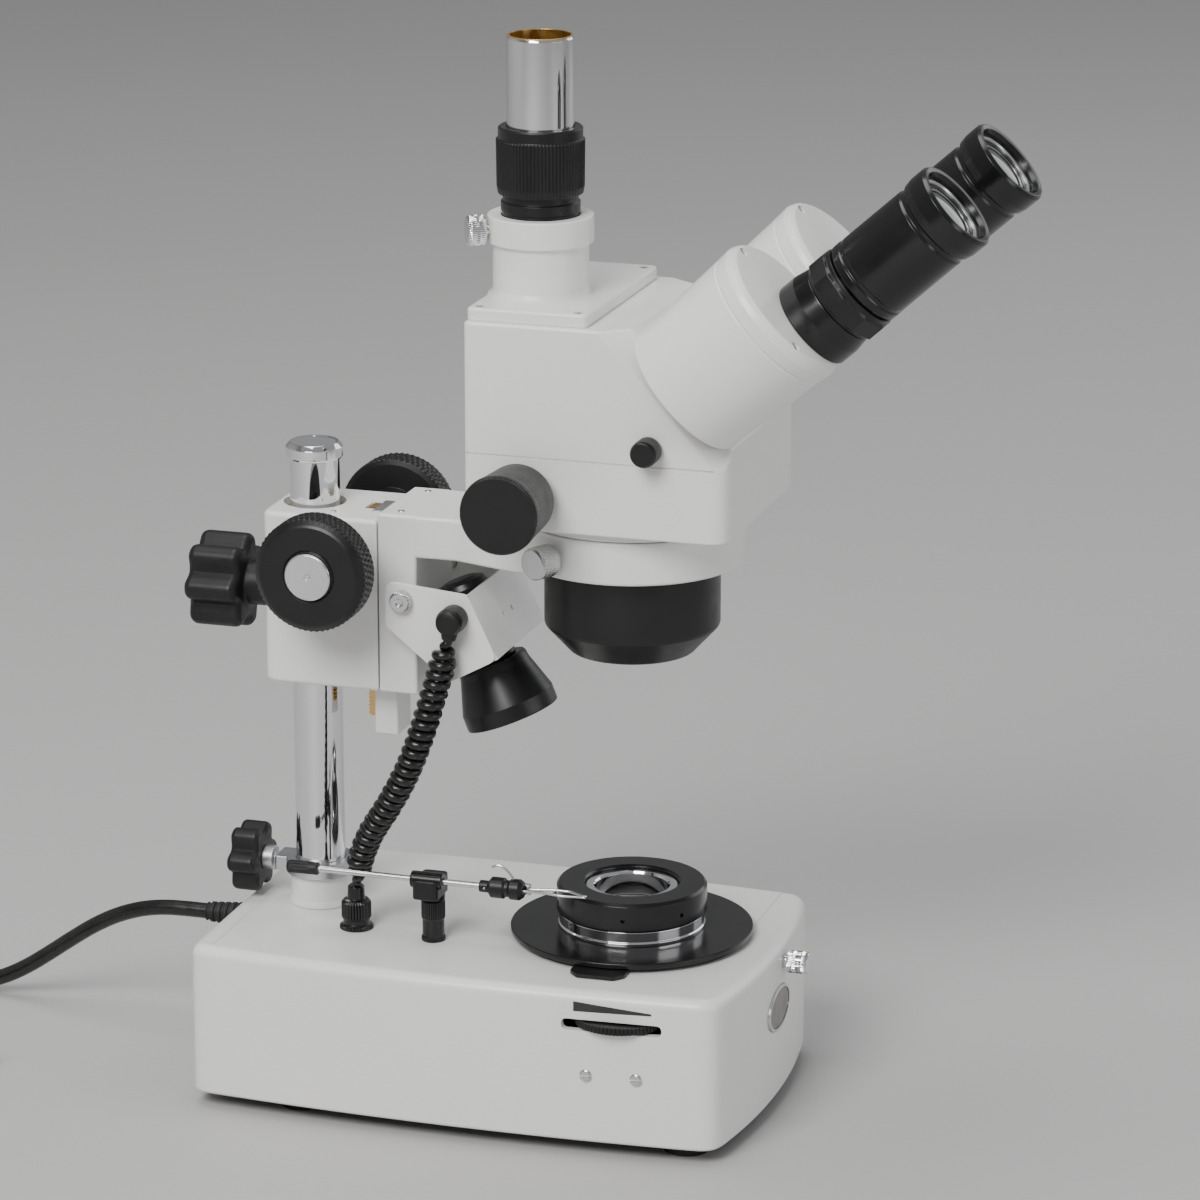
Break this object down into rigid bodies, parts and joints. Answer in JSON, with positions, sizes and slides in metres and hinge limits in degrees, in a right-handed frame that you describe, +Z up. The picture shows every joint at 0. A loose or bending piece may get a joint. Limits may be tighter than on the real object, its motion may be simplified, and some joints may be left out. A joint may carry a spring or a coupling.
{
  "type": "stereo microscope",
  "caption": "Trinocular stereo zoom microscope with a rack-focus arm on a chrome pillar, a lit darkfield base, an oblique lamp and a gem clamp.",
  "frame": {"origin": "on the table, under the middle of the instrument without its mains cord; the optical axis stands 15 mm in front of it", "axes": "+Z up, +X to the user's right, -Y towards the user; the pillar stands behind at +Y"},
  "size_m": [0.164, 0.5517, 0.43],
  "materials": {
    "white_enamel": "smooth satin enamel, faint orange peel",
    "dark_steel": "matt grey underside plate",
    "foot_rubber": "matt moulded rubber",
    "bright_steel": "turned and polished steel",
    "dark_badge": "dark blank badge with a fine rim",
    "board_green": "circuit board and wound transformer",
    "warm_glass": "halogen bulb glass",
    "reflector": "bright spun reflector",
    "black_anodised": "satin black anodised aluminium",
    "chrome_plate": "bright chrome plating",
    "cast_aluminium": "fine machined aluminium",
    "black_plastic": "moulded black plastic, slightly glossy on edges",
    "cord_black": "black flexible PVC",
    "bronze": "plain bearing bronze",
    "brass": "machined brass",
    "lens_glass": "coated optical glass in black barrels"
  },
  "bodies": {
    "root": {"base_housing": "white_enamel", "base_plate": "dark_steel", "rubber_feet": "foot_rubber", "base_screws": "bright_steel", "badge": "dark_badge", "transformer": "board_green", "base_lamp": "warm_glass", "reflector_dish": "reflector", "stage_plate": "black_anodised", "stage_band": "chrome_plate", "stage_cap": "black_anodised", "foot_boss": "white_enamel", "foot_collar": "cast_aluminium", "pillar": "chrome_plate", "pillar_cap": "chrome_plate", "cord_socket": "black_plastic", "lamp_cord": "cord_black", "mains_gland": "black_plastic", "mains_cord": "cord_black", "mains_coil": "cord_black", "mains_plug": "cord_black", "gem_post": "black_anodised"},
    "switch": {"switch_rocker": "black_plastic"},
    "iris": {"iris_lever": "black_anodised"},
    "dimmer": {"dimmer_wheel": "black_plastic"},
    "pull": {"pull_rod": "bright_steel"},
    "foot_knob": {"foot_clamp_knob": "black_plastic"},
    "gem_swivel_head": {"gem_head": "black_anodised"},
    "gem_bar": {"gem_rod": "bright_steel"},
    "gem_finger": {"gem_jaw": "bright_steel"},
    "bush": {"pillar_bush": "bronze"},
    "block": {"focus_block": "white_enamel"},
    "block_knob": {"clamp_knob": "black_plastic"},
    "focus_drive": {"pinion_shaft": "bright_steel", "focus_knobs": "black_plastic"},
    "carriage": {"carriage_arm": "white_enamel", "rack": "brass"},
    "ring_screw": {"head_lock_screw": "bright_steel"},
    "lamp": {"lamp_bracket": "white_enamel", "lamp_shroud": "black_anodised", "lamp_bulb": "black_anodised", "pivot_screws": "bright_steel"},
    "head": {"head_body": "white_enamel", "head_cover": "white_enamel", "objective_shroud": "black_anodised", "objective_lens": "lens_glass", "head_prisms": "lens_glass"},
    "port_screw": {"port_lock_screw": "bright_steel"},
    "camera_collar": {"camera_ring": "black_anodised"},
    "camera_barrel": {"camera_tube": "chrome_plate"},
    "zoom": {"zoom_knobs": "black_plastic"},
    "zoom_group": {"zoom_lenses": "lens_glass"},
    "light_path": {"path_rod": "black_plastic"},
    "left_prism": {"left_prism_housing": "white_enamel"},
    "right_prism": {"right_prism_housing": "white_enamel"},
    "left_diopter": {"left_diopter_ring": "black_anodised"},
    "right_diopter": {"right_diopter_ring": "black_anodised"},
    "left_ocular": {"left_eyepiece": "black_anodised"},
    "right_ocular": {"right_eyepiece": "black_anodised"}
  },
  "joints": [
    {"name": "switch_tilt", "type": "hinge", "parent": "root", "child": "switch", "pos_m": [-0.036, 0.1468, 0.04], "axis": [1, 0, 0], "range_deg": [-8, 8]},
    {"name": "iris_turn", "type": "hinge", "parent": "root", "child": "iris", "pos_m": [0, -0.015, 0.069], "axis": [0, 0, 1], "range_deg": [-25, 25]},
    {"name": "dimmer_turn", "type": "hinge", "parent": "root", "child": "dimmer", "pos_m": [-0.056, -0.028, 0.0545], "axis": [0, 0, 1], "range_deg": [0, 270]},
    {"name": "darkfield_pull", "type": "slide", "parent": "root", "child": "pull", "axis": [0, -1, 0], "range_m": [0, 0.012]},
    {"name": "foot_knob_turn", "type": "hinge", "parent": "root", "child": "foot_knob", "pos_m": [0, 0.141, 0.084], "axis": [0, 1, 0], "range_deg": [-180, 180]},
    {"name": "gem_swivel", "type": "hinge", "parent": "root", "child": "gem_swivel_head", "pos_m": [-0.031, 0.058, 0.095], "axis": [0, 0, 1], "range_deg": [0, 30]},
    {"name": "gem_slide", "type": "slide", "parent": "gem_swivel_head", "child": "gem_bar", "axis": [0, -1, 0], "range_m": [-0.012, 0.012]},
    {"name": "gem_jaw_open", "type": "hinge", "parent": "gem_bar", "child": "gem_finger", "pos_m": [-0.0359, 0.0166, 0.095], "axis": [0, 0, 1], "range_deg": [0, 15], "stiffness_Nm_per_rad": 0.005},
    {"name": "height_slide", "type": "slide", "parent": "root", "child": "bush", "axis": [0, 0, 1], "range_m": [-0.03, 0.012], "deforming": ["lamp_cord"]},
    {"name": "arm_swing", "type": "hinge", "parent": "bush", "child": "block", "pos_m": [0, 0.117, 0.2], "axis": [0, 0, 1], "range_deg": [-60, 60]},
    {"name": "clamp_turn", "type": "hinge", "parent": "block", "child": "block_knob", "pos_m": [0, 0.132, 0.2], "axis": [0, 1, 0], "range_deg": [-180, 180]},
    {"name": "focus_slide", "type": "slide", "parent": "block", "child": "carriage", "axis": [0, 0, 1], "range_m": [-0.015, 0.025]},
    {"name": "focus_knob_turn", "type": "hinge", "parent": "block", "child": "focus_drive", "pos_m": [0, 0.0993, 0.221], "axis": [1, 0, 0], "range_deg": [-300, 180]},
    {"name": "head_lock_turn", "type": "hinge", "parent": "carriage", "child": "ring_screw", "pos_m": [0, -0.015, 0.232], "axis": [-0.8988, 0.4384, 0], "range_deg": [-180, 180]},
    {"name": "lamp_tilt", "type": "hinge", "parent": "carriage", "child": "lamp", "pos_m": [0, 0.07, 0.207], "axis": [1, 0, 0], "range_deg": [-12, 12]},
    {"name": "head_turn", "type": "hinge", "parent": "carriage", "child": "head", "pos_m": [0, -0.015, 0.24], "axis": [0, 0, 1], "continuous": true},
    {"name": "port_lock_turn", "type": "hinge", "parent": "head", "child": "port_screw", "pos_m": [-0.013, 0.018, 0.3555], "axis": [-0.5, 0.866, 0], "range_deg": [-180, 180]},
    {"name": "camera_ring_turn", "type": "hinge", "parent": "head", "child": "camera_collar", "pos_m": [-0.013, 0.018, 0.37], "axis": [0, 0, 1], "range_deg": [-90, 90]},
    {"name": "camera_tube_slide", "type": "slide", "parent": "camera_collar", "child": "camera_barrel", "axis": [0, 0, 1], "range_m": [-0.015, 0.012]},
    {"name": "zoom_turn", "type": "hinge", "parent": "head", "child": "zoom", "pos_m": [0, 0.013, 0.259], "axis": [1, 0, 0], "range_deg": [-150, 150]},
    {"name": "zoom_group_slide", "type": "slide", "parent": "head", "child": "zoom_group", "axis": [0, 0, 1], "range_m": [-0.007, 0.007]},
    {"name": "path_pull", "type": "slide", "parent": "head", "child": "light_path", "axis": [-1, 0, 0], "range_m": [0, 0.006]},
    {"name": "left_ipd", "type": "hinge", "parent": "head", "child": "left_prism", "pos_m": [-0.041, -0.08789, 0.33814], "axis": [0, -0.7431, 0.6691], "range_deg": [-11, 55]},
    {"name": "right_ipd", "type": "hinge", "parent": "head", "child": "right_prism", "pos_m": [0.041, -0.08789, 0.33814], "axis": [0, -0.7431, 0.6691], "range_deg": [-55, 11]},
    {"name": "left_eyepiece_slide", "type": "slide", "parent": "left_prism", "child": "left_ocular", "axis": [0, -0.7431, 0.6691], "range_m": [0, 0.006]},
    {"name": "left_diopter_turn", "type": "hinge", "parent": "left_prism", "child": "left_diopter", "pos_m": [-0.035, -0.09561, 0.32957], "axis": [0, -0.7431, 0.6691], "range_deg": [-5, 185]},
    {"name": "right_eyepiece_slide", "type": "slide", "parent": "right_prism", "child": "right_ocular", "axis": [0, -0.7431, 0.6691], "range_m": [-0.0055, 0.0025]},
    {"name": "right_diopter_turn", "type": "hinge", "parent": "right_prism", "child": "right_diopter", "pos_m": [0.035, -0.09561, 0.32957], "axis": [0, -0.7431, 0.6691], "range_deg": [-170, 80]}
  ],
  "couplings": [
    {"joint": "focus_knob_turn", "follows": "focus_slide", "rad_per_m": -200},
    {"joint": "zoom_group_slide", "follows": "zoom_turn", "m_per_rad": 0.0025},
    {"joint": "right_ipd", "follows": "left_ipd", "ratio": -1},
    {"joint": "left_diopter_turn", "follows": "left_eyepiece_slide", "rad_per_m": 523.6},
    {"joint": "right_diopter_turn", "follows": "right_eyepiece_slide", "rad_per_m": 523.6}
  ]
}
